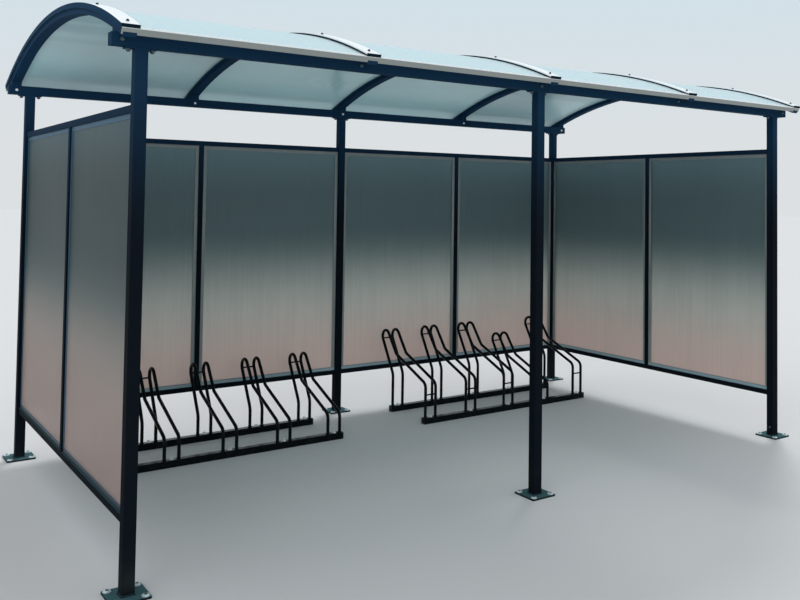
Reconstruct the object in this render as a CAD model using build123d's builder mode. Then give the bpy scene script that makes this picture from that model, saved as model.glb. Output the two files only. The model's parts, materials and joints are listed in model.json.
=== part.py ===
from build123d import *
from math import asin, cos, degrees, radians, sin, sqrt, tan
import os

os.makedirs("parts", exist_ok=True)

# An open-fronted bike shelter: six posts, two beams, five arched ribs under a
# barrel roof, three glazed walls and two five-place wheel racks.
# Millimetres. X runs along the shelter, the open front faces -Y, Z is up.
# The origin is on the ground, in the middle of the shelter.

# Frame layout
post_spacing = 2050.0
row_depth = 2115.0
beam_bottom = 2080.0
inner_rib_pitch = 1080.0
end_rib_past_post = 75.0

# Posts, from the ground up
plate_size = 150.0
plate_thickness = 8.0
plate_corner = 6.0
plate_bolt_spacing = 112.0
plate_bolt_hole = 14.0
drain_hole = 16.0
post_size = 50.0
post_wall = 3.0
post_corner = 4.0
flange_length = 120.0
flange_width = 50.0
flange_thickness = 6.0
flange_bolt_spacing = 92.0
flange_bolt_hole = 11.0

# Beams along the front and the rear
beam_width = 50.0
beam_height = 50.0
beam_wall = 3.0
beam_corner = 3.0
beam_end_past_rib = 15.0
beam_cap = 3.0

# Arched ribs: bent tubes, each with a hollow foot on both beams
rib_radius = 3104.0
rib_above_beam = 41.0
rib_width = 50.0
rib_depth = 25.0
rib_wall = 2.0
rib_cap = 2.0
rib_foot_inset = 1.0

# Roof sheets, their cover strips and the profiles along their edges
sheet_thickness = 10.0
sheet_gap = 30.0
roof_overhang = 126.0
strip_thickness = 14.0
strip_width = 70.0
strip_wall = 2.5
gable_leg = 3.0
gable_gap = 1.0
edge_wall = 2.0
edge_lip = 20.0
edge_drip = 16.0
edge_gap = 0.3
edge_notch_gap = 1.0
edge_rib_notch = 9.0
edge_end_gap = 1.0

# Walls
wall_top = 1864.0
wall_bottom = 261.0
rail_size = 30.0
rail_wall = 2.0
panel_thickness = 10.0
panel_gap = 1.0
edging_web = 1.5
edging_leg = 22.0
edging_gap = 0.3

# Wheel racks
places = 5
place_pitch = 340.0
hoop_gap = 82.0
hoop_bar = 20.0
foot_spacing = 410.0
rear_bend = 80.0
front_bend = 45.0
hoop_top_bend = 46.0
head_height = 297.0
back_lean = 31.5
front_lean = 38.0
shoulder_height = 148.0
front_rise = 2.0
tall_leg = 262.0
low_leg = 158.0
link_bar = 10.0
upper_link_drop = 62.0
front_link_height = 190.0
rack_rail_size = 40.0
rack_rail_wall = 2.5
rack_rail_past = 18.0
rack_anchor_hole = 11.0
rack_behind = 229.0
left_rack_shift = -22.0
right_rack_shift = 23.0

rows = {"front": -row_depth / 2, "rear": row_depth / 2}
columns = {"left": -post_spacing, "middle": 0.0, "right": post_spacing}
end_rib = post_spacing + end_rib_past_post
rib_places = [-end_rib, -inner_rib_pitch, 0.0, inner_rib_pitch, end_rib]
flange_bottom = beam_bottom - flange_thickness
beam_top = beam_bottom + beam_height
beam_length = 2 * end_rib + rib_width + 2 * beam_end_past_rib
roof_centre = beam_top + rib_above_beam - sqrt(rib_radius**2 - (row_depth / 2) ** 2)
eave = row_depth / 2 + roof_overhang
eave_angle = degrees(asin(eave / rib_radius))


def arch_slice(x, inner, outer, half_angle):
    """A slice of the roof's arch at one X, between two radii."""
    with BuildSketch(Plane.YZ.offset(x)) as arch:
        with BuildLine():
            low = CenterArc((0, roof_centre), inner, 90 - half_angle, 2 * half_angle)
            high = CenterArc((0, roof_centre), outer, 90 - half_angle, 2 * half_angle)
            Line(low @ 0, high @ 0)
            Line(low @ 1, high @ 1)
        make_face()
    return arch.sketch


# Posts: base plate, square tube and the flange that the beam is bolted to.
for row, y in rows.items():
    for column, x in columns.items():
        foot = Plane((x, y, 0))
        with BuildPart() as post:
            with BuildSketch(foot):
                RectangleRounded(plate_size, plate_size, plate_corner)
                with GridLocations(plate_bolt_spacing, plate_bolt_spacing, 2, 2):
                    Circle(plate_bolt_hole / 2, mode=Mode.SUBTRACT)
            extrude(amount=plate_thickness)
            with BuildSketch(foot.offset(plate_thickness)):
                RectangleRounded(post_size, post_size, post_corner)
            extrude(amount=flange_bottom - plate_thickness)
            with BuildSketch(foot.offset(flange_bottom)):
                Rectangle(flange_length, flange_width)
                with GridLocations(flange_bolt_spacing, 0, 2, 1):
                    Circle(flange_bolt_hole / 2, mode=Mode.SUBTRACT)
            extrude(amount=flange_thickness)
            with BuildSketch(foot.offset(plate_thickness)):
                Rectangle(post_size - 2 * post_wall, post_size - 2 * post_wall)
            extrude(amount=flange_bottom - plate_thickness, mode=Mode.SUBTRACT)
            with BuildSketch(foot):
                Circle(drain_hole / 2)
            extrude(amount=plate_thickness, mode=Mode.SUBTRACT)
        label = f"{row}_{column}_post"
        post.part.label = label
        export_step(post.part, f"parts/{label}.step")

# Beams: closed rectangular tubes, drilled from below for the flange bolts.
for row, y in rows.items():
    beam_middle = (y, beam_bottom + beam_height / 2)
    with BuildPart() as beam:
        with BuildSketch(Plane.YZ.offset(-beam_length / 2)):
            with Locations(beam_middle):
                RectangleRounded(beam_width, beam_height, beam_corner)
        extrude(amount=beam_length)
        with BuildSketch(Plane.YZ.offset(-beam_length / 2 + beam_cap)):
            with Locations(beam_middle):
                Rectangle(beam_width - 2 * beam_wall, beam_height - 2 * beam_wall)
        extrude(amount=beam_length - 2 * beam_cap, mode=Mode.SUBTRACT)
        with BuildSketch(Plane.XY.offset(beam_bottom)):
            for x in columns.values():
                with Locations((x, y)):
                    with GridLocations(flange_bolt_spacing, 0, 2, 1):
                        Circle(flange_bolt_hole / 2)
        extrude(amount=beam_wall, mode=Mode.SUBTRACT)
    label = f"{row}_beam"
    beam.part.label = label
    export_step(beam.part, f"parts/{label}.step")

# Ribs: bent rectangular tubes that reach the edge profiles. The hollow of each
# foot opens into the tube and down onto the beam.
rib_half_angle = eave_angle - degrees(edge_gap / rib_radius)
rib_cap_angle = degrees(rib_cap / rib_radius)
foot_top = roof_centre + (rib_radius - rib_depth / 2) * cos(asin(row_depth / 2 / rib_radius))
for number, x in enumerate(rib_places, start=1):
    with BuildPart() as rib:
        outside = arch_slice(
            x - rib_width / 2, rib_radius - rib_depth, rib_radius, rib_half_angle
        )
        extrude(outside, amount=rib_width)
        for wall in (0, rib_wall):
            size = (rib_width - 2 * wall, beam_width - 2 * rib_foot_inset - 2 * wall)
            with BuildSketch(Plane.XY.offset(beam_top)):
                with Locations((x, rows["front"]), (x, rows["rear"])):
                    Rectangle(*size)
            extrude(amount=foot_top - beam_top, mode=Mode.SUBTRACT if wall else Mode.ADD)
        inside = arch_slice(
            x - rib_width / 2 + rib_wall,
            rib_radius - rib_depth + rib_wall,
            rib_radius - rib_wall,
            rib_half_angle - rib_cap_angle,
        )
        extrude(inside, amount=rib_width - 2 * rib_wall, mode=Mode.SUBTRACT)
    label = f"roof_rib_{number}"
    rib.part.label = label
    export_step(rib.part, f"parts/{label}.step")

# Roof sheets: four arched sheets that meet over the ribs.
gable_edge = end_rib + strip_width / 2
for number in range(1, 5):
    left = rib_places[number - 1] + sheet_gap / 2
    right = rib_places[number] - sheet_gap / 2
    if number == 1:
        left = -gable_edge + gable_leg + gable_gap
    if number == 4:
        right = gable_edge - gable_leg - gable_gap
    with BuildPart() as sheet:
        bent = arch_slice(left, rib_radius, rib_radius + sheet_thickness, eave_angle)
        extrude(bent, amount=right - left)
    label = f"roof_sheet_{number}"
    sheet.part.label = label
    export_step(sheet.part, f"parts/{label}.step")

# Cover strips over the ribs: shallow channels with closed ends. The two end
# strips turn down over the gable edge.
sheet_top = rib_radius + sheet_thickness
strip_top = sheet_top + strip_thickness
strip_angle = eave_angle + degrees(edge_wall / rib_radius)
strip_cap_angle = degrees(strip_wall / rib_radius)
for number, x in enumerate(rib_places, start=1):
    with BuildPart() as strip:
        outside = arch_slice(x - strip_width / 2, sheet_top, strip_top, strip_angle)
        extrude(outside, amount=strip_width)
        hollow = arch_slice(
            x - strip_width / 2 + strip_wall,
            sheet_top,
            strip_top - strip_wall,
            strip_angle - strip_cap_angle,
        )
        extrude(hollow, amount=strip_width - 2 * strip_wall, mode=Mode.SUBTRACT)
        if number in (1, 5):
            leg_start = -gable_edge if number == 1 else gable_edge - gable_leg
            leg = arch_slice(leg_start, rib_radius, sheet_top, eave_angle)
            extrude(leg, amount=gable_leg)
    label = f"roof_strip_{number}"
    strip.part.label = label
    export_step(strip.part, f"parts/{label}.step")

# Edge profiles: a channel over the sheets' lower edge, with a face that hangs
# below it as a drip. Two lengths meet over the middle rib. The upper lip is
# notched where the cover strips run out, the lower lip and the drip at the ribs.
half_length = gable_edge - gable_leg
for row, side in {"front": -1, "rear": 1}.items():
    turn = radians(eave_angle)
    edge_point = (0, side * eave, roof_centre + rib_radius * cos(turn))
    outward = (0, side * cos(turn), -sin(turn))
    edge_plane = Plane(edge_point, x_dir=outward, z_dir=(side, 0, 0))
    with BuildPart() as profile:
        for start in (-half_length, edge_end_gap / 2):
            length = half_length - edge_end_gap / 2
            first = start if side == 1 else -start - length
            with BuildSketch(edge_plane.offset(first)):
                with Locations((0, -edge_drip)):
                    Rectangle(
                        edge_wall,
                        edge_drip + sheet_thickness + edge_gap + edge_wall,
                        align=(Align.MIN, Align.MIN),
                    )
                with Locations((0, sheet_thickness + edge_gap), (0, -edge_gap - edge_wall)):
                    Rectangle(edge_lip, edge_wall, align=(Align.MAX, Align.MIN))
            extrude(amount=length)
        for x in rib_places:
            notch = strip_width + 2 * edge_notch_gap
            with BuildSketch(edge_plane.offset(side * x - notch / 2)):
                with Locations((edge_wall, sheet_thickness)):
                    Rectangle(
                        edge_lip + 2 * edge_wall,
                        edge_wall + strip_thickness,
                        align=(Align.MAX, Align.MIN),
                    )
            extrude(amount=notch, mode=Mode.SUBTRACT)
            notch = rib_width + 2 * edge_notch_gap
            with BuildSketch(edge_plane.offset(side * x - notch / 2)):
                with Locations((0, 0)):
                    Rectangle(
                        edge_lip + edge_wall,
                        edge_gap + 2 * edge_wall,
                        align=(Align.MAX, Align.MAX),
                    )
                with Locations((0, -edge_drip)):
                    Rectangle(edge_wall, edge_rib_notch, align=(Align.MIN, Align.MIN))
            extrude(amount=notch, mode=Mode.SUBTRACT)
    label = f"{row}_edge_profile"
    profile.part.label = label
    export_step(profile.part, f"parts/{label}.step")

# Walls: each bay has a welded frame of two rails and a mullion, and two panels
# in channel edging.
rear_span = post_spacing - post_size
side_span = row_depth - post_size
bays = {
    "left_wall": (Plane((-post_spacing, 0, 0), x_dir=(0, 1, 0), z_dir=(1, 0, 0)), side_span),
    "rear_left_wall": (
        Plane((-post_spacing / 2, row_depth / 2, 0), x_dir=(1, 0, 0), z_dir=(0, -1, 0)),
        rear_span,
    ),
    "rear_right_wall": (
        Plane((post_spacing / 2, row_depth / 2, 0), x_dir=(1, 0, 0), z_dir=(0, -1, 0)),
        rear_span,
    ),
    "right_wall": (Plane((post_spacing, 0, 0), x_dir=(0, 1, 0), z_dir=(1, 0, 0)), side_span),
}
opening_bottom = wall_bottom + rail_size
opening_height = wall_top - wall_bottom - 2 * rail_size
opening_middle = opening_bottom + opening_height / 2
edging_depth = panel_thickness + 2 * edging_gap + 2 * edging_web
for name, (plane, span) in bays.items():
    bore = rail_size - 2 * rail_wall
    rail_middles = (wall_bottom + rail_size / 2, wall_top - rail_size / 2)
    with BuildPart() as frame:
        with BuildSketch(plane.offset(-rail_size / 2)):
            for height in rail_middles:
                with Locations((0, height)):
                    Rectangle(span, rail_size)
            with Locations((0, opening_middle)):
                Rectangle(rail_size, opening_height)
        extrude(amount=rail_size)
        with BuildSketch(plane.offset(-bore / 2)):
            for height in rail_middles:
                with Locations((0, height)):
                    Rectangle(span, bore)
            with Locations((0, opening_middle)):
                Rectangle(bore, opening_height + 2 * rail_wall)
        extrude(amount=bore, mode=Mode.SUBTRACT)
    label = f"{name}_frame"
    frame.part.label = label
    export_step(frame.part, f"parts/{label}.step")

    opening_width = (span - rail_size) / 2
    opening_offset = (opening_width + rail_size) / 2
    panel_width = opening_width - 2 * edging_web - 2 * panel_gap
    panel_height = opening_height - 2 * edging_web - panel_gap
    panel_bottom = opening_bottom + edging_web
    with BuildPart() as edging:
        for shift in (-opening_offset, opening_offset):
            with BuildSketch(plane.offset(-edging_depth / 2)):
                with Locations((shift, opening_middle)):
                    Rectangle(opening_width, opening_height)
                    Rectangle(
                        opening_width - 2 * edging_leg,
                        opening_height - 2 * edging_leg,
                        mode=Mode.SUBTRACT,
                    )
            extrude(amount=edging_depth)
        slot = panel_thickness + 2 * edging_gap
        with BuildSketch(plane.offset(-slot / 2)):
            with Locations((-opening_offset, opening_middle), (opening_offset, opening_middle)):
                Rectangle(opening_width - 2 * edging_web, opening_height - 2 * edging_web)
        extrude(amount=slot, mode=Mode.SUBTRACT)
    label = f"{name}_edging"
    edging.part.label = label
    export_step(edging.part, f"parts/{label}.step")

    for number, shift in enumerate((-opening_offset, opening_offset), start=1):
        with BuildPart() as panel:
            with BuildSketch(plane.offset(-panel_thickness / 2)):
                with Locations((shift, panel_bottom)):
                    Rectangle(panel_width, panel_height, align=(Align.CENTER, Align.MIN))
            extrude(amount=panel_thickness)
        label = f"{name}_panel_{number}"
        panel.part.label = label
        export_step(panel.part, f"parts/{label}.step")


def hoop_outline(x, y, leg):
    """The centre line of one wheel hoop, from its rear foot to its front foot."""
    back = radians(back_lean)
    front = radians(front_lean)
    bend = leg
    reach = (head_height - hoop_top_bend - hoop_top_bend * sin(back)) / cos(back)
    centre_y = y + reach * sin(back) - hoop_top_bend * cos(back)
    centre_z = bend + head_height - hoop_top_bend
    rear_touch = (centre_y + hoop_top_bend * cos(back), centre_z - hoop_top_bend * sin(back))
    front_touch = (centre_y - hoop_top_bend * cos(front), centre_z + hoop_top_bend * sin(front))
    drop = (front_touch[1] - bend - shoulder_height) / cos(front)
    shoulder = (front_touch[0] - drop * sin(front), bend + shoulder_height)
    toe_y = y - foot_spacing
    with BuildLine(Plane.YZ.offset(x)) as outline:
        FilletPolyline((y, rack_rail_size), (y, bend), rear_touch, radius=rear_bend)
        ThreePointArc(rear_touch, (centre_y, centre_z + hoop_top_bend), front_touch)
        FilletPolyline(
            front_touch,
            shoulder,
            (toe_y, bend + front_rise),
            (toe_y, rack_rail_size),
            radius=front_bend,
        )
    return outline.line


# Wheel racks: two rails on the ground, and five pairs of hoops welded to them.
rack_length = (places - 1) * place_pitch + hoop_gap + 2 * rack_rail_past
rear_rail_y = row_depth / 2 - rack_behind
racks = {
    "left_rack": (-post_spacing / 2 + left_rack_shift, [low_leg] * 5),
    "right_rack": (
        post_spacing / 2 + right_rack_shift,
        [tall_leg, tall_leg, tall_leg, low_leg, tall_leg],
    ),
}
for name, (middle, legs) in racks.items():
    pair_places = [middle + (count - (places - 1) / 2) * place_pitch for count in range(places)]
    with BuildPart() as rails:
        for y in (rear_rail_y - foot_spacing, rear_rail_y):
            with BuildSketch(Plane.YZ.offset(middle - rack_length / 2)):
                with Locations((y, rack_rail_size / 2)):
                    Rectangle(rack_rail_size, rack_rail_size)
            extrude(amount=rack_length)
            bore = rack_rail_size - 2 * rack_rail_wall
            with BuildSketch(Plane.YZ.offset(middle - rack_length / 2 + rack_rail_wall)):
                with Locations((y, rack_rail_size / 2)):
                    Rectangle(bore, bore)
            extrude(amount=rack_length - 2 * rack_rail_wall, mode=Mode.SUBTRACT)
            with BuildSketch():
                with Locations(*[(x, y) for x in pair_places]):
                    Circle(rack_anchor_hole / 2)
            extrude(amount=rack_rail_size, mode=Mode.SUBTRACT)
    label = f"{name}_rails"
    rails.part.label = label
    export_step(rails.part, f"parts/{label}.step")

    with BuildPart() as hoops:
        for x, leg in zip(pair_places, legs):
            for side in (-hoop_gap / 2, hoop_gap / 2):
                path = hoop_outline(x + side, rear_rail_y, leg)
                with BuildSketch(Plane((x + side, rear_rail_y, rack_rail_size))) as bar:
                    Circle(hoop_bar / 2)
                sweep(sections=bar.sketch, path=path)
            link_height = head_height - upper_link_drop
            link_y = rear_rail_y + link_height * tan(radians(back_lean))
            with BuildSketch(Plane.YZ.offset(x - hoop_gap / 2)):
                with Locations((link_y, leg + link_height)):
                    Circle(link_bar / 2)
                if leg == tall_leg:
                    with Locations((rear_rail_y - foot_spacing, front_link_height)):
                        Circle(link_bar / 2)
            extrude(amount=hoop_gap)
    label = f"{name}_hoops"
    hoops.part.label = label
    export_step(hoops.part, f"parts/{label}.step")
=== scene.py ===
import bpy
import bmesh
import json
import math
from mathutils import Matrix, Vector


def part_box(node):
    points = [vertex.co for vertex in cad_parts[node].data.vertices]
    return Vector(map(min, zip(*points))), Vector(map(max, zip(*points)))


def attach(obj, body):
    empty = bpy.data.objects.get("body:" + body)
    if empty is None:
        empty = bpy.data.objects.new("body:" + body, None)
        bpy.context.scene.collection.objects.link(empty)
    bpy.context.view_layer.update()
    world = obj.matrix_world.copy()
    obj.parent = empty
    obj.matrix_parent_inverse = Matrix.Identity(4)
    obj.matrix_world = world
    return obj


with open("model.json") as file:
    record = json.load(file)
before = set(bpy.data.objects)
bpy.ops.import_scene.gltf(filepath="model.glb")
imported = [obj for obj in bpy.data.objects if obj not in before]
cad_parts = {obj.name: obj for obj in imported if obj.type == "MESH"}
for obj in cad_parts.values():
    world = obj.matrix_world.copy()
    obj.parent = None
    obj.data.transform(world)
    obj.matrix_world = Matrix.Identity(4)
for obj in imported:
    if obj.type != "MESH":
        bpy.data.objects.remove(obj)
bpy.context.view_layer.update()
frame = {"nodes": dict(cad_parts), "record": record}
nodes = frame["nodes"]
print("frame loaded:", len(nodes), "pieces")


class Wire:
    # A socket that can stand in a sum; each sum adds a Math node.
    def __init__(self, paint, socket):
        self.paint = paint
        self.socket = socket

    def math(self, operation, first, second):
        return self.paint.node("ShaderNodeMath", {"operation": operation}, {0: first, 1: second})

    def __add__(self, other):
        return self.math("ADD", self, other)

    def __radd__(self, other):
        return self.math("ADD", other, self)

    def __sub__(self, other):
        return self.math("SUBTRACT", self, other)

    def __rsub__(self, other):
        return self.math("SUBTRACT", other, self)

    def __mul__(self, other):
        return self.math("MULTIPLY", self, other)

    def __rmul__(self, other):
        return self.math("MULTIPLY", other, self)


class Paint:
    # A material with its Principled shader, and the nodes that feed it.
    def __init__(self, name, **values):
        self.material = bpy.data.materials.new(name)
        self.material.use_nodes = True
        self.tree = self.material.node_tree
        self.shader = self.tree.nodes["Principled BSDF"]
        for key, value in values.items():
            self.set(key, value)

    def set(self, key, value):
        socket = self.shader.inputs[socketNames[key]]
        if isinstance(value, Wire):
            self.tree.links.new(value.socket, socket)
        else:
            socket.default_value = value

    def node(self, kind, settings, inputs, output=0):
        made = self.tree.nodes.new(kind)
        for key, value in settings.items():
            setattr(made, key, value)
        for key, value in inputs.items():
            if isinstance(value, Wire):
                self.tree.links.new(value.socket, made.inputs[key])
            else:
                made.inputs[key].default_value = value
        return Wire(self, made.outputs[output])

    def coords(self):
        return self.node("ShaderNodeTexCoord", {}, {}, "Object")

    def facing(self):
        return self.node("ShaderNodeTexCoord", {}, {}, "Normal")

    def axis(self, vector, letter):
        return self.node("ShaderNodeSeparateXYZ", {}, {0: vector}, letter)

    def stretch(self, vector, scale):
        return self.node("ShaderNodeMapping", {}, {"Vector": vector, "Scale": scale})

    def noise(self, vector, scale, detail, roughness=0.55):
        return self.node("ShaderNodeTexNoise", {}, {
            "Vector": vector, "Scale": scale, "Detail": detail, "Roughness": roughness})

    def larger(self, first, second):
        return self.node("ShaderNodeMath", {"operation": "MAXIMUM"}, {0: first, 1: second})

    def step(self, value, low, high):
        kind = {"clamp": True, "interpolation_type": "SMOOTHSTEP"}
        return self.node("ShaderNodeMapRange", kind, {
            "Value": value, "From Min": low, "From Max": high, "To Min": 0.0, "To Max": 1.0})

    def stepOfSquare(self, square, low, high):
        # A step in a distance of which the square is given.
        return self.step(square, low ** 2, high ** 2)

    def wave(self, value, length):
        # A sine along one axis that repeats after the given length.
        turns = value * (2 * math.pi / length)
        return self.node("ShaderNodeMath", {"operation": "SINE"}, {0: turns})

    def blend(self, mask, first, second):
        return self.node("ShaderNodeMix", {"data_type": "RGBA"}, {0: mask, 6: first, 7: second}, 2)

    def bump(self, height, strength, distance):
        self.set("normal", self.node("ShaderNodeBump", {}, {
            "Height": height, "Strength": strength, "Distance": distance}))


socketNames = {
    "color": "Base Color", "rough": "Roughness", "metal": "Metallic", "normal": "Normal",
    "alpha": "Alpha", "clear": "Transmission Weight", "ior": "IOR",
    "specular": "Specular IOR Level"}

# The roof, as its middle strip shows it, and the sheets under the strips.
roof = {
    "endCap": 0.006, "levelWithin": 0.001,
    "stripThick": 0.014, "sheetThick": 0.010, "flute": 0.0107}


def roofArc():
    # The circle of the strips' upper face: radius, centre height, half span.
    low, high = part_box("roof_strip_3")
    points = [v.co for v in nodes["roof_strip_3"].data.vertices]
    eaveZ = max(p.z for p in points if p.y < low.y + roof["endCap"])
    halfSpan = max(abs(p.y) for p in points if abs(p.z - eaveZ) < roof["levelWithin"])
    rise = high.z - eaveZ
    radius = (halfSpan ** 2 + rise ** 2) / (2 * rise)
    return radius, high.z - radius, halfSpan


arcRadius, arcCentreZ, arcHalfSpan = roofArc()
sheetTop = arcRadius - roof["stripThick"]
print("roof arc: radius %.4f, centre %.4f, half span %.4f" % (arcRadius, arcCentreZ, arcHalfSpan))


def arcReach(paint, place):
    # The square of the distance from the axis of the roof's arc.
    depth = paint.axis(place, "Y")
    height = paint.axis(place, "Z") - arcCentreZ
    return depth * depth + height * height


def boxMiddle(name):
    low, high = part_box(name)
    return low, high, (low + high) / 2


# The frame paint's lighter navy higher up is painted light.
framePaintSettings = {
    "color": (0.006, 0.0092, 0.0136, 1), "paintedLitNavy": (0.011, 0.041, 0.087, 1),
    # film: teal, partly dust and partly painted sky sheen on faces that look up
    "dusty": (0.045, 0.052, 0.052, 1), "film": (0.065, 0.15, 0.165, 1),
    "specular": 0.004, "gloss": 0.42, "cloudGloss": 0.1, "dustGloss": 0.3,
    "cloud": (7.0, 4.0), "peel": (900.0, 2.0), "peelBump": (0.12, 0.0006),
    "paintedLightHeights": (1.3, 2.3), "dustTop": 0.25, "footDust": 0.35, "footPatches": (0.4, 0.75),
    "anyDust": 0.03, "anyPatches": (0.55, 0.85), "lying": (0.7, 0.9), "plateTop": (0.011, 0.013),
    "plateDustAndSheen": 0.2, "anyDustAndSheen": 0.6, "steadyDustAndSheen": 0.75, "cloudFilm": 0.4}


def makeFramePaint():
    # Dark paint, lighter navy higher up as painted light, dusty at the foot, and on faces that look
    # up a teal film of dust and painted sky sheen.
    s = framePaintSettings
    paint = Paint("framePaint", specular=s["specular"])
    place = paint.coords()
    height = paint.axis(place, "Z")
    cloud = paint.noise(place, *s["cloud"])
    foot = 1 - paint.step(height, 0.0, s["dustTop"])
    dust = foot * paint.step(cloud, *s["footPatches"]) * s["footDust"]
    dust = dust + paint.step(cloud, *s["anyPatches"]) * s["anyDust"]
    # Faces that look up get a teal film that is partly dust and partly painted sky sheen.
    lying = paint.step(paint.axis(paint.facing(), "Z"), *s["lying"])
    plate = 1 - paint.step(height, *s["plateTop"])
    film = lying * (plate * s["plateDustAndSheen"] + s["anyDustAndSheen"])
    film = film * (s["steadyDustAndSheen"] + s["cloudFilm"] * cloud)
    # Painted light: the navy grows lighter towards the top.
    paintedLightUp = paint.step(height, *s["paintedLightHeights"])
    color = paint.blend(paintedLightUp, s["color"], s["paintedLitNavy"])
    color = paint.blend(dust, color, s["dusty"])
    paint.set("color", paint.blend(film, color, s["film"]))
    paint.set("rough", s["gloss"] + s["cloudGloss"] * cloud + s["dustGloss"] * dust)
    paint.bump(paint.noise(place, *s["peel"]), *s["peelBump"])
    return paint.material


stripPaintSettings = {
    "dark": (0.005, 0.017, 0.027, 1), "gable": (0.0015, 0.034, 0.082, 1),
    "metal": (1.0, 1.0, 1.0, 1), "dull": (0.93, 0.96, 0.97, 1),
    "specular": 0.004, "metallic": 0.3, "gloss": 0.3, "cloudGloss": 0.1,
    "skinFrom": 0.0008, "skinTo": 0.0003, "cap": 0.006, "capEdge": 0.0004,
    "faceFrom": 0.0015, "faceTo": 0.0005, "endCap": 0.004, "endEdge": 0.0005,
    "cloud": (16.0, 5.0), "cloudStretch": (1, 0.3, 1),
    "peel": (700.0, 2.0), "peelBump": (0.1, 0.0006)}


def makeStripPaint():
    # Bright aluminium on the top of each strip; dark gasket and ends; navy gable faces, lightened
    # as painted light against their shade.
    s = stripPaintSettings
    paint = Paint("stripPaint", specular=s["specular"])
    place = paint.coords()
    across = paint.axis(place, "X")
    depth = paint.axis(place, "Y")
    reach = arcReach(paint, place)
    capAt = arcRadius - s["cap"]
    endAt = arcHalfSpan - s["endCap"]
    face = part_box("roof_strip_5")[1].x
    skin = paint.stepOfSquare(reach, arcRadius - s["skinFrom"], arcRadius - s["skinTo"])
    shoulder = paint.stepOfSquare(reach, capAt - s["capEdge"], capAt)
    inside = 1 - paint.stepOfSquare(across * across, face - s["faceFrom"], face - s["faceTo"])
    body = 1 - paint.stepOfSquare(depth * depth, endAt - s["endEdge"], endAt)
    bright = paint.larger(skin, shoulder * inside) * body
    cloud = paint.noise(paint.stretch(place, s["cloudStretch"]), *s["cloud"])
    metal = paint.blend(cloud, s["metal"], s["dull"])
    # The gable faces' navy is lightened against the shade they sit in: painted light.
    dark = paint.blend((1 - inside) * body, s["dark"], s["gable"])
    paint.set("color", paint.blend(bright, dark, metal))
    paint.set("metal", bright * s["metallic"])
    paint.set("rough", s["gloss"] + s["cloudGloss"] * cloud)
    paint.bump(paint.noise(place, *s["peel"]), *s["peelBump"])
    return paint.material


rackPaintSettings = {
    "color": (0.0026, 0.0046, 0.0062, 1), "worn": (0.07, 0.072, 0.072, 1),
    "dusty": (0.045, 0.043, 0.04, 1), "specular": 0.1, "gloss": 0.24,
    "cloud": (22.0, 5.0), "fine": (190.0, 3.0), "fineBump": (0.08, 0.0005),
    "dustTop": 0.06, "dust": 0.16, "dustPatches": (0.5, 0.75), "dustGloss": 0.35,
    "wear": 0.3, "wearSpecks": (0.68, 0.74), "wearPatches": (0.58, 0.68), "wearGloss": 0.2}


def makeRackPaint():
    s = rackPaintSettings
    paint = Paint("rackPaint", specular=s["specular"])
    place = paint.coords()
    cloud = paint.noise(place, *s["cloud"])
    fine = paint.noise(place, *s["fine"])
    foot = 1 - paint.step(paint.axis(place, "Z"), 0.0, s["dustTop"])
    dust = foot * paint.step(cloud, *s["dustPatches"]) * s["dust"]
    worn = paint.step(fine, *s["wearSpecks"]) * paint.step(cloud, *s["wearPatches"]) * s["wear"]
    color = paint.blend(dust, s["color"], s["dusty"])
    paint.set("color", paint.blend(worn, color, s["worn"]))
    paint.set("rough", s["gloss"] + s["dustGloss"] * dust + s["wearGloss"] * worn)
    paint.bump(fine, *s["fineBump"])
    return paint.material


outerEdge = 0.0005


def outerSide(paint, place):
    # One outside the middle planes of the walls' panels, nothing inside them.
    sideAt = boxMiddle("right_wall_panel_1")[2].x
    rearAt = boxMiddle("rear_left_wall_panel_1")[2].y
    across = paint.axis(place, "X")
    sides = paint.stepOfSquare(across * across, sideAt - outerEdge, sideAt + outerEdge)
    rear = paint.step(paint.axis(place, "Y"), rearAt - outerEdge, rearAt + outerEdge)
    return paint.larger(sides, rear)


wallPanelSettings = {
    "light": (0.64, 0.7, 0.64, 1), "dark": (0.48, 0.54, 0.49, 1),
    "shade": (0.055, 0.11, 0.13, 1), "shadeHeights": (0.7, 1.3), "shadePart": 0.88,
    "paintedSkyLight": (0.17, 0.3, 0.34, 1), "skyHeights": (1.5, 1.9), "skyPart": 0.6,
    "warmGround": (0.94, 0.64, 0.57, 1), "warmGroundHeights": (0.35, 0.85), "warmGroundOuterRise": 0.3,
    "warmGroundPart": 0.5, "warmGroundStreaks": 0.4,
    # outside: the colour of the painted shade on the outer face
    "outside": (0.004, 0.03, 0.034, 1), "outerShade": 0.47, "outerShadeAbove": 0.2,
    "outerShadeHeights": (0.8, 1.5), "outerShadeLostInSky": 0.35,
    "streaks": (60.0, 4.0, 0.7), "streakStretch": (1, 1, 0.02), "streakFilm": (0.3, 0.75),
    "wide": (3.0, 3.0), "wideStretch": (1, 1, 0.3), "wideFilm": (0.25, 0.75),
    "streakPart": 0.4, "widePart": 0.6, "gloss": 0.3, "filmGloss": 0.1,
    "alpha": 0.9, "filmAlpha": 0.035, "webAlpha": 0.02, "shadeAlpha": 0.035, "outerAlpha": 0.03,
    "webBump": (0.3, 0.0008)}


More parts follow.
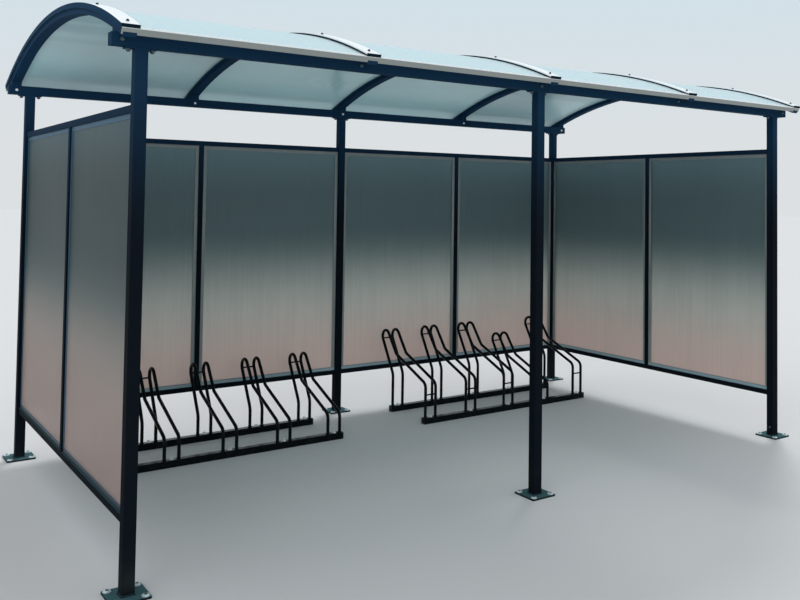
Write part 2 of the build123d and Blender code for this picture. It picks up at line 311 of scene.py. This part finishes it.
def makeWallPanel():
    # Twin-wall sheet with painted light: painted shade above with a painted sky light at the very
    # top, warmer at the foot where the ground seen through is painted in, and painted shade on its
    # outer face.
    s = wallPanelSettings
    paint = Paint("wallPanel", clear=0.5, ior=1.3, specular=0.015)
    place = paint.coords()
    height = paint.axis(place, "Z")
    web = paint.wave(paint.axis(place, "X") + paint.axis(place, "Y"), roof["flute"])
    outside = outerSide(paint, place)
    streaks = paint.noise(paint.stretch(place, s["streakStretch"]), *s["streaks"])
    wide = paint.noise(paint.stretch(place, s["wideStretch"]), *s["wide"])
    film = paint.step(streaks, *s["streakFilm"]) * s["streakPart"]
    film = film + paint.step(wide, *s["wideFilm"]) * s["widePart"]
    # Painted shade over the upper part, and a painted sky light at the very top.
    shade = paint.step(height, *s["shadeHeights"])
    paintedSkyLight = paint.step(height, *s["skyHeights"])
    # Pinker towards the foot and higher on the outer face: the warm ground seen through the panel,
    # painted in.
    warmGround = 1 - paint.step(height - s["warmGroundOuterRise"] * outside, *s["warmGroundHeights"])
    warmGround = warmGround * (s["warmGroundPart"] + s["warmGroundStreaks"] * streaks)
    # Painted shade on the outer face, stronger higher up and weaker under the painted sky light.
    outerShade = s["outerShade"] + s["outerShadeAbove"] * paint.step(height, *s["outerShadeHeights"])
    outerShade = outside * outerShade * (1 - s["outerShadeLostInSky"] * paintedSkyLight)
    color = paint.blend(film, s["dark"], s["light"])
    color = paint.blend(shade * s["shadePart"], color, s["shade"])
    color = paint.blend(paintedSkyLight * s["skyPart"], color, s["paintedSkyLight"])
    color = paint.blend(warmGround, color, s["warmGround"])
    paint.set("color", paint.blend(outerShade, color, s["outside"]))
    paint.set("rough", s["gloss"] + s["filmGloss"] * film)
    alpha = s["alpha"] + s["filmAlpha"] * film + s["webAlpha"] * web
    paint.set("alpha", alpha + (s["shadeAlpha"] + s["outerAlpha"] * outside) * shade)
    paint.bump(web, *s["webBump"])
    return paint.material


roofSheetSettings = {
    "above": (0.67, 0.84, 0.88, 1), "dull": (0.62, 0.78, 0.82, 1),
    "below": (0.6, 0.96, 1.0, 1), "belowDull": (0.58, 0.76, 0.79, 1),
    "darkTone": (0.24, 0.48, 0.54, 1), "stripShadow": (0.018, 0.07, 0.12, 1),
    "faceEdge": 0.002, "ribEdge": 0.001, "stripShadowTo": 0.038, "stripShadowEdge": 0.0005,
    "streaks": (18.0, 2.0, 0.5), "streakStretch": (1, 0.03, 0.03), "streakFilm": (0.2, 0.8),
    "clouds": (2.2, 3.0, 0.5), "cloudFilm": (0.25, 0.75), "streakPart": 0.3, "cloudPart": 0.7,
    "bands": (3.4, 1.0, 0.4), "bandStretch": (0.06, 1, 1), "bandDarkTone": (0.46, 0.6),
    "middleDull": 0.15, "endDull": 0.85, "middleBands": 0.05, "endBands": 0.3, "endDarkTone": 0.3,
    "gloss": 0.22, "filmGloss": 0.06, "alpha": 0.84, "filmAlpha": 0.06, "webAlpha": 0.012,
    "webBump": (0.04, 0.0008)}
ribPlaces = [boxMiddle(name)[2].x for name in ("roof_rib_3", "roof_rib_4", "roof_rib_5")]


def makeRoofSheet():
    # Clear above; below, the sheet's tint brightened as painted sky light shining through, darker
    # in the end sheets and in bands, with painted shadows of the cover strips beside the ribs.
    s = roofSheetSettings
    paint = Paint("roofSheet", ior=1.45)
    place = paint.coords()
    across = paint.axis(place, "X")
    middle = sheetTop - roof["sheetThick"] / 2
    reach = arcReach(paint, place)
    upper = paint.stepOfSquare(reach, middle - s["faceEdge"], middle + s["faceEdge"])
    web = paint.wave(across, roof["flute"])
    streaks = paint.noise(paint.stretch(place, s["streakStretch"]), *s["streaks"])
    clouds = paint.noise(place, *s["clouds"])
    bands = paint.noise(paint.stretch(place, s["bandStretch"]), *s["bands"])
    film = paint.step(streaks, *s["streakFilm"]) * s["streakPart"]
    film = film + paint.step(clouds, *s["cloudFilm"]) * s["cloudPart"]
    aboveColor = paint.blend(film, s["above"], s["dull"])
    fromMiddle = paint.larger(across, across * -1.0)
    ends = paint.step(fromMiddle, ribPlaces[1] - s["ribEdge"], ribPlaces[1] + s["ribEdge"])
    dull = film * (s["middleDull"] + s["endDull"] * ends)
    # Below: the sheet's tint, brightened to stand in for sky light shining through: painted light.
    belowColor = paint.blend(dull, s["below"], s["belowDull"])
    # Darker in bands and in the end sheets.
    darkTone = paint.step(bands, *s["bandDarkTone"]) * (s["middleBands"] + s["endBands"] * ends)
    belowColor = paint.blend(darkTone + s["endDarkTone"] * ends, belowColor, s["darkTone"])
    # Painted shadow of the cover strips, seen through the sheet on either side of each rib.
    for ribX in ribPlaces:
        offset = fromMiddle - ribX
        stripShadow = 1 - paint.stepOfSquare(
            offset * offset, s["stripShadowTo"] - s["stripShadowEdge"], s["stripShadowTo"] + s["stripShadowEdge"])
        belowColor = paint.blend(stripShadow, belowColor, s["stripShadow"])
    paint.set("color", paint.blend(upper, belowColor, aboveColor))
    paint.set("rough", s["gloss"] + s["filmGloss"] * film)
    paint.set("alpha", s["alpha"] + s["filmAlpha"] * film + s["webAlpha"] * web)
    paint.bump(web, *s["webBump"])
    return paint.material


panelEdgingSettings = {
    "dark": (0.2, 0.235, 0.24, 1), "light": (0.3, 0.325, 0.325, 1), "foot": (0.32, 0.46, 0.52, 1),
    "outer": (0.035, 0.1, 0.165, 1), "outerFoot": (0.03, 0.045, 0.06, 1),
    "footFrom": 0.016, "footTo": 0.020, "cloud": (12.0, 4.0), "gloss": 0.35, "cloudGloss": 0.15}


def makePanelEdging():
    s = panelEdgingSettings
    # Edging with painted light: the inner faces' clouded grey is lightened against their shade, the
    # outer faces are darker navy as painted shade, and the inner foot is pale teal as painted sky
    # sheen.
    paint = Paint("panelEdging", specular=0.1)
    place = paint.coords()
    cloud = paint.noise(place, *s["cloud"])
    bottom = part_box("right_wall_edging")[0].z
    height = paint.axis(place, "Z")
    foot = 1 - paint.step(height, bottom + s["footFrom"], bottom + s["footTo"])
    outer = outerSide(paint, place)
    # Painted shade: darker navy on the outer faces.
    color = paint.blend(outer, paint.blend(cloud, s["dark"], s["light"]), s["outer"])
    # Painted sky sheen: pale teal at the inner foot.
    footColor = paint.blend(outer, s["foot"], s["outerFoot"])
    paint.set("color", paint.blend(foot, color, footColor))
    paint.set("rough", s["gloss"] + s["cloudGloss"] * cloud)
    return paint.material


edgeAluminiumSettings = {
    "dark": (0.27, 0.295, 0.285, 1), "light": (0.34, 0.365, 0.355, 1),
    "lip": (0.95, 0.97, 0.97, 1), "lipFrom": 0.002, "lipTo": 0.001,
    "drawn": (500.0, 3.0), "drawnStretch": (0.02, 1, 1), "drawnBump": (0.1, 0.0004),
    "stains": (9.0, 5.0), "gloss": 0.4, "stainGloss": 0.15, "lipGloss": 0.2}


def makeEdgeAluminium():
    # Mill-finish aluminium, with a painted highlight along the lip over the sheets.
    s = edgeAluminiumSettings
    paint = Paint("edgeAluminium", metal=0.75)
    place = paint.coords()
    drawn = paint.noise(paint.stretch(place, s["drawnStretch"]), *s["drawn"])
    stains = paint.noise(place, *s["stains"])
    reach = arcReach(paint, place)
    # Painted highlight on the top edge of the lip.
    lip = paint.stepOfSquare(reach, sheetTop - s["lipFrom"], sheetTop - s["lipTo"])
    face = paint.blend(stains, s["dark"], s["light"])
    paint.set("color", paint.blend(lip, face, s["lip"]))
    paint.set("rough", s["gloss"] + s["stainGloss"] * stains - s["lipGloss"] * lip)
    paint.bump(drawn, *s["drawnBump"])
    return paint.material


fastenerSettings = {
    "zinc": {
        "dark": (0.62, 0.7, 0.71, 1), "light": (0.9, 0.99, 1.0, 1), "metal": 0.6, "rough": 0.2},
    # dullAndShadedZinc: dark zinc; on one foot screw it is a painted shaded copy of the zinc.
    "dullAndShadedZinc": {
        "dark": (0.06, 0.1, 0.125, 1), "light": (0.12, 0.18, 0.215, 1), "metal": 0.4, "rough": 0.4},
    "darkCap": {
        "dark": (0.008, 0.016, 0.022, 1), "light": (0.02, 0.03, 0.036, 1),
        "metal": 0.0, "rough": 0.3},
    "darkStud": {
        "dark": (0.02, 0.04, 0.05, 1), "light": (0.05, 0.09, 0.1, 1), "metal": 0.0, "rough": 0.45}}
spangle = {"noise": (260.0, 3.0), "gloss": 0.2}


def makeFastener(name):
    s = fastenerSettings[name]
    paint = Paint(name, metal=s["metal"])
    grain = paint.noise(paint.coords(), *spangle["noise"])
    paint.set("color", paint.blend(grain, s["dark"], s["light"]))
    paint.set("rough", s["rough"] + spangle["gloss"] * grain)
    return paint.material


finishes = {
    "frame_paint": makeFramePaint(), "strip_paint": makeStripPaint(),
    "rack_paint": makeRackPaint(), "wall_panel": makeWallPanel(),
    "roof_sheet": makeRoofSheet(), "panel_edging": makePanelEdging(),
    "edge_aluminium": makeEdgeAluminium()}
fasteners = {name: makeFastener(name) for name in fastenerSettings}

slotOf = {part["node"]: part["material_slot"] for part in frame["record"]["subparts"]}
for nodeName, node in nodes.items():
    node.data.materials.clear()
    node.data.materials.append(finishes[slotOf[nodeName]])
print("finishes made")


def clearPick():
    if bpy.context.mode != "OBJECT":
        bpy.ops.object.mode_set(mode="OBJECT")
    bpy.ops.object.select_all(action="DESELECT")


def pickOnly(obj):
    clearPick()
    obj.select_set(True)
    bpy.context.view_layer.objects.active = obj


def bakePlace():
    bpy.ops.object.transform_apply(location=True, rotation=True, scale=True)


looksUp = 0.9


def pickTop(obj):
    # Into edit mode with only the faces that look up selected.
    pickOnly(obj)
    bpy.ops.object.mode_set(mode="EDIT")
    bpy.ops.mesh.select_mode(type="FACE")
    bpy.ops.mesh.select_all(action="DESELECT")
    mesh = bmesh.from_edit_mesh(obj.data)
    for face in mesh.faces:
        face.select_set(face.normal.z > looksUp)
    mesh.select_flush_mode()
    bmesh.update_edit_mesh(obj.data)


def keepAbove(closed):
    # In edit mode, cuts away what lies below the piece's own floor.
    bpy.ops.mesh.select_all(action="SELECT")
    bpy.ops.mesh.bisect(
        plane_co=(0, 0, 0), plane_no=(0, 0, 1), clear_inner=True, use_fill=closed)
    bpy.ops.object.mode_set(mode="OBJECT")


chamferSlope = 0.6


def addDisc(radius, depth, sides, bottom, chamfer):
    clearPick()
    bpy.ops.mesh.primitive_cylinder_add(
        vertices=sides, radius=radius, depth=depth, location=(0, 0, bottom + depth / 2))
    bakePlace()
    disc = bpy.context.object
    pickTop(disc)
    bpy.ops.mesh.inset(thickness=chamfer)
    bpy.ops.transform.translate(value=(0, 0, chamfer * chamferSlope))
    bpy.ops.object.mode_set(mode="OBJECT")
    return disc


def joinAll(parts, name):
    clearPick()
    for part in parts:
        part.select_set(True)
    bpy.context.view_layer.objects.active = parts[0]
    bpy.ops.object.join()
    joined = bpy.context.object
    joined.name = name
    joined.data.name = name
    bakePlace()
    return joined


def standUp(direction):
    # The turn that takes +Z to a direction.
    return Vector((0, 0, 1)).rotation_difference(Vector(direction)).to_matrix().to_4x4()


smoothTo = math.radians(35)


def setOut(master, places, name, material):
    # Copies of one small piece, joined: places are (position, direction, turn).
    copies = []
    for position, direction, turn in places:
        copy = master.copy()
        copy.data = master.data.copy()
        bpy.context.collection.objects.link(copy)
        copy.matrix_world = (
            Matrix.Translation(position) @ standUp(direction) @ Matrix.Rotation(turn, 4, "Z"))
        copies.append(copy)
    piece = joinAll(copies, name)
    bpy.data.objects.remove(master)
    piece.data.materials.clear()
    piece.data.materials.append(material)
    pickOnly(piece)
    bpy.ops.object.shade_smooth_by_angle(angle=smoothTo)
    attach(piece, "root")
    print(name, "placed:", len(places))


up = (0, 0, 1)
down = (0, 0, -1)
nutShape = {
    "washerSides": 24, "washerChamfer": 0.0006, "headChamfer": 0.0015,
    "studSides": 16, "studChamfer": 0.0012}

# Anchor bolts on the base plates: bright washer and nut, dark end of the stud.
plateBolts = {
    **nutShape, "spacing": 0.112, "plate": 0.008, "washer": 0.016, "washerThick": 0.003,
    "across": 0.0125, "head": 0.0035, "stud": 0.0068, "studTop": 0.0082,
    "turnPerPost": 0.7, "turnPerCorner": 0.9}


def makeHead(s):
    # A washer with a hexagonal nut or bolt head on it.
    washer = addDisc(s["washer"], s["washerThick"], s["washerSides"], 0, s["washerChamfer"])
    head = addDisc(s["across"], s["head"], 6, s["washerThick"], s["headChamfer"])
    return joinAll([washer, head], "head")


def makeStud(s):
    return addDisc(s["stud"], s["studTop"], s["studSides"], 0, s["studChamfer"])


postNames = sorted(n for n in nodes if n.endswith("_post"))
plateSpots = []
for count, postName in enumerate(postNames):
    low, high, middle = boxMiddle(postName)
    for corner, (sx, sy) in enumerate(((-1, -1), (1, -1), (1, 1), (-1, 1))):
        half = plateBolts["spacing"] / 2
        spot = Vector((middle.x + sx * half, middle.y + sy * half, low.z + plateBolts["plate"]))
        turn = plateBolts["turnPerPost"] * count + plateBolts["turnPerCorner"] * corner
        plateSpots.append((spot, up, turn))
setOut(makeHead(plateBolts), plateSpots, "basePlateNuts", fasteners["zinc"])
setOut(makeStud(plateBolts), plateSpots, "basePlateStuds", fasteners["darkStud"])

# Weld collars where the tubes stand on their plates.
postWelds = {"tube": 0.050, "plate": 0.008, "throat": 0.0045, "round": 0.001}


def makeWeldCollar(s):
    clearPick()
    bottom = s["tube"] + 2 * s["throat"]
    bpy.ops.mesh.primitive_cube_add(size=1, location=(0, 0, 0))
    collar = bpy.context.object
    collar.scale = (bottom, bottom, s["throat"])
    collar.location = (0, 0, s["throat"] / 2)
    bakePlace()
    pickTop(collar)
    shrink = s["tube"] / bottom
    bpy.ops.transform.resize(value=(shrink, shrink, 1), center_override=(0, 0, s["throat"]))
    bpy.ops.mesh.select_all(action="SELECT")
    bpy.ops.mesh.bevel(offset=s["round"], segments=2)
    bpy.ops.object.mode_set(mode="OBJECT")
    return collar


weldSpots = []
for postName in postNames:
    low, high, middle = boxMiddle(postName)
    weldSpots.append((Vector((middle.x, middle.y, low.z + postWelds["plate"])), up, 0))
setOut(makeWeldCollar(postWelds), weldSpots, "postWelds", finishes["frame_paint"])

# Bolts through the flanges, seen from below.
flangeBolts = {
    **nutShape, "spacing": 0.092, "flange": 0.006, "washer": 0.0105, "washerThick": 0.002,
    "across": 0.0092, "head": 0.0075, "stud": 0.005, "studTop": 0.0115, "turnPerPost": 1.1}
flangeSpots = []
for count, postName in enumerate(postNames):
    low, high, middle = boxMiddle(postName)
    for side in (-1, 1):
        x = middle.x + side * flangeBolts["spacing"] / 2
        spot = Vector((x, middle.y, high.z - flangeBolts["flange"]))
        flangeSpots.append((spot, down, flangeBolts["turnPerPost"] * count + side))
setOut(makeHead(flangeBolts), flangeSpots, "flangeNuts", fasteners["dullAndShadedZinc"])
setOut(makeStud(flangeBolts), flangeSpots, "flangeStuds", fasteners["darkStud"])

# Bolt heads on both faces of the beams at each rib.
beamBolts = {
    "washer": 0.0078, "washerThick": 0.0014, "washerSides": 20, "washerChamfer": 0.0004,
    "across": 0.0065, "head": 0.0045, "headChamfer": 0.001, "turnPerRib": 0.4,
    "beams": {
        "front_beam": ("frontBeamBolts", "dullAndShadedZinc"), "rear_beam": ("rearBeamBolts", "zinc")}}
ribNames = sorted(n for n in nodes if n.startswith("roof_rib_"))
for beamName, (boltsName, finish) in beamBolts["beams"].items():
    beamSpots = []
    low, high, middle = boxMiddle(beamName)
    for count, ribName in enumerate(ribNames):
        x = boxMiddle(ribName)[2].x
        for y, side in ((low.y, -1), (high.y, 1)):
            spot = Vector((x, y, middle.z))
            beamSpots.append((spot, (0, side, 0), beamBolts["turnPerRib"] * count))
    setOut(makeHead(beamBolts), beamSpots, boltsName, fasteners[finish])

# Domed screws along the cover strips.
stripScrews = {"perStrip": 6, "endInset": 0.050, "radius": 0.0065, "height": 0.008}


def makeDome(s):
    clearPick()
    bpy.ops.mesh.primitive_uv_sphere_add(
        segments=20, ring_count=10, radius=s["radius"], location=(0, 0, 0))
    dome = bpy.context.object
    dome.scale = (1, 1, s["height"] / s["radius"])
    bakePlace()
    bpy.ops.object.mode_set(mode="EDIT")
    keepAbove(True)
    return dome


screwSpots = []
screwReach = math.asin((arcHalfSpan - stripScrews["endInset"]) / arcRadius)
for stripName in sorted(n for n in nodes if n.startswith("roof_strip_")):
    x = boxMiddle(stripName)[2].x
    for count in range(stripScrews["perStrip"]):
        angle = -screwReach + 2 * screwReach * count / (stripScrews["perStrip"] - 1)
        outward = Vector((0, math.sin(angle), math.cos(angle)))
        screwSpots.append((Vector((x, 0, arcCentreZ)) + outward * arcRadius, outward, 0))
setOut(makeDome(stripScrews), screwSpots, "stripScrews", fasteners["darkCap"])

# Anchor bolts in the rack rails, and the weld beads round the hoops' feet.
rackAnchors = {
    **nutShape, "pitch": 0.340, "places": 5, "washer": 0.0145, "washerThick": 0.0025,
    "across": 0.0105, "head": 0.008, "stud": 0.0055, "studTop": 0.014, "turnPerPlace": 0.8}
hoopWelds = {
    "gap": 0.082, "bar": 0.020, "throat": 0.0028, "ripples": 24,
    "swell": (1.06, 1.06, 1.25), "turnPerPlace": 1.3}


def makeWeldRing(s):
    # A bead with every second ring of points swollen.
    clearPick()
    bpy.ops.mesh.primitive_torus_add(
        major_segments=s["ripples"], minor_segments=8,
        major_radius=s["bar"] / 2, minor_radius=s["throat"])
    ring = bpy.context.object
    bpy.ops.object.mode_set(mode="EDIT")
    bpy.ops.mesh.select_all(action="DESELECT")
    mesh = bmesh.from_edit_mesh(ring.data)
    for vertex in mesh.verts:
        turn = math.atan2(vertex.co.y, vertex.co.x) / (2 * math.pi / s["ripples"])
        vertex.select_set(round(turn) % 2 == 0)
    bmesh.update_edit_mesh(ring.data)
    bpy.ops.transform.resize(value=s["swell"], center_override=(0, 0, 0))
    keepAbove(False)
    return ring


anchorSpots = []
footSpots = []
for rackName in ("left_rack_rails", "right_rack_rails"):
    low, high, middle = boxMiddle(rackName)
    halfRail = (high.z - low.z) / 2
    for y in (low.y + halfRail, high.y - halfRail):
        for count in range(rackAnchors["places"]):
            x = middle.x + (count - (rackAnchors["places"] - 1) / 2) * rackAnchors["pitch"]
            turn = count * rackAnchors["turnPerPlace"] + y
            anchorSpots.append((Vector((x, y, high.z)), up, turn))
            for side in (-1, 1):
                spot = Vector((x + side * hoopWelds["gap"] / 2, y, high.z))
                footSpots.append((spot, up, count * hoopWelds["turnPerPlace"] + side))
setOut(makeHead(rackAnchors), anchorSpots, "rackAnchorNuts", fasteners["zinc"])
setOut(makeStud(rackAnchors), anchorSpots, "rackAnchorStuds", fasteners["zinc"])
setOut(makeWeldRing(hoopWelds), footSpots, "hoopWelds", finishes["rack_paint"])

# Screws near the feet of three posts: post, side of the post and height. Bright zinc on two, and on
# the third the dull zinc as a painted shaded copy.
footScrews = {
    "radius": 0.006, "height": 0.005, "tube": 0.050,
    "litAndShadedLooks": {
        "bright": ("zinc", (("front_left_post", 1, 0.088), ("rear_left_post", 1, 0.080))),
        "dull": ("dullAndShadedZinc", (("front_right_post", -1, 0.058),))}}
for lightingLook, (finish, posts) in footScrews["litAndShadedLooks"].items():
    footScrewSpots = []
    for postName, side, height in posts:
        low, high, middle = boxMiddle(postName)
        spot = Vector((middle.x + side * footScrews["tube"] / 2, middle.y, low.z + height))
        footScrewSpots.append((spot, (side, 0, 0), 0))
    setOut(makeDome(footScrews), footScrewSpots, lightingLook + "FootScrewsLitAndShaded", fasteners[finish])

# The studio: pale floor, pale surroundings and two soft lamps.
studio = {
    "floor": (0.66, 0.665, 0.67, 1), "floorSize": 160, "light": (0.95, 0.99, 1.02, 1),
    "strength": 0.78, "low": (0.72, 0.745, 0.76, 1), "high": (0.61, 0.75, 0.83, 1), "rise": 0.35}
clearPick()
bpy.ops.mesh.primitive_plane_add(size=studio["floorSize"], location=(0, 0, 0))
floor = bpy.context.object
floor.name = "studioFloor"
floorPaint = Paint("studioFloor", color=studio["floor"], rough=0.95, specular=0.1)
floor.data.materials.append(floorPaint.material)

world = bpy.data.worlds.new("studio")
bpy.context.scene.world = world
world.use_nodes = True


class Air(Paint):
    # The world's nodes, made with the same sums as a material's.
    def __init__(self, tree):
        self.tree = tree


air = Air(world.node_tree)
skyHeight = air.axis(air.node("ShaderNodeTexCoord", {}, {}, "Generated"), "Z")
seenColor = air.blend(air.step(skyHeight, 0.0, studio["rise"]), studio["low"], studio["high"])
seen = air.node("ShaderNodeBackground", {}, {"Color": seenColor, "Strength": 1.0})
lighting = air.node(
    "ShaderNodeBackground", {}, {"Color": studio["light"], "Strength": studio["strength"]})
seenBy, glossy, passing = (air.node("ShaderNodeLightPath", {}, {}, kind) for kind in (
    "Is Camera Ray", "Is Glossy Ray", "Is Transmission Ray"))
direct = air.larger(air.larger(seenBy, glossy), passing)
mixed = air.node("ShaderNodeMixShader", {}, {0: direct, 1: lighting, 2: seen})
air.tree.links.new(mixed.socket, air.tree.nodes["World Output"].inputs["Surface"])

lamps = {
    "key": {"from": (5.5, 4.5, 6.5), "strength": 1.6, "spread": 18},
    "fill": {"from": (-7.0, -6.0, 3.0), "strength": 0.4, "spread": 50}}
for lampName, s in lamps.items():
    clearPick()
    bpy.ops.object.light_add(type="SUN", location=s["from"])
    lamp = bpy.context.object
    lamp.name = lampName
    lamp.data.energy = s["strength"]
    lamp.data.angle = math.radians(s["spread"])
    lamp.visible_glossy = False
    lamp.rotation_euler = (-Vector(s["from"])).to_track_quat("-Z", "Y").to_euler()

# The camera of the photo, from its fitted place, turns and lens.
photoView = {
    "at": (-3.0627, -4.5, 1.5188), "focalPx": 880.6, "centrePx": (448.5, 165.3),
    "imagePx": (800, 600), "yaw": 35.863, "pitch": 2.101, "roll": 0.739,
    "sensor": 36.0, "clipEnd": 500}
clearPick()
bpy.ops.object.camera_add()
camera = bpy.context.object
turn = (
    Matrix.Rotation(-math.radians(photoView["yaw"]), 4, "Z")
    @ Matrix.Rotation(math.radians(90 + photoView["pitch"]), 4, "X")
    @ Matrix.Rotation(math.radians(photoView["roll"]), 4, "Z"))
camera.matrix_world = Matrix.Translation(photoView["at"]) @ turn
imageWide, imageHigh = photoView["imagePx"]
centreX, centreY = photoView["centrePx"]
camera.data.sensor_width = photoView["sensor"]
camera.data.lens = photoView["sensor"] * photoView["focalPx"] / imageWide
camera.data.shift_x = (imageWide / 2 - centreX) / imageWide
camera.data.shift_y = (centreY - imageHigh / 2) / imageWide
camera.data.clip_end = photoView["clipEnd"]
bpy.context.scene.camera = camera
bpy.context.scene.view_settings.view_transform = "Standard"
print("stage and camera set")
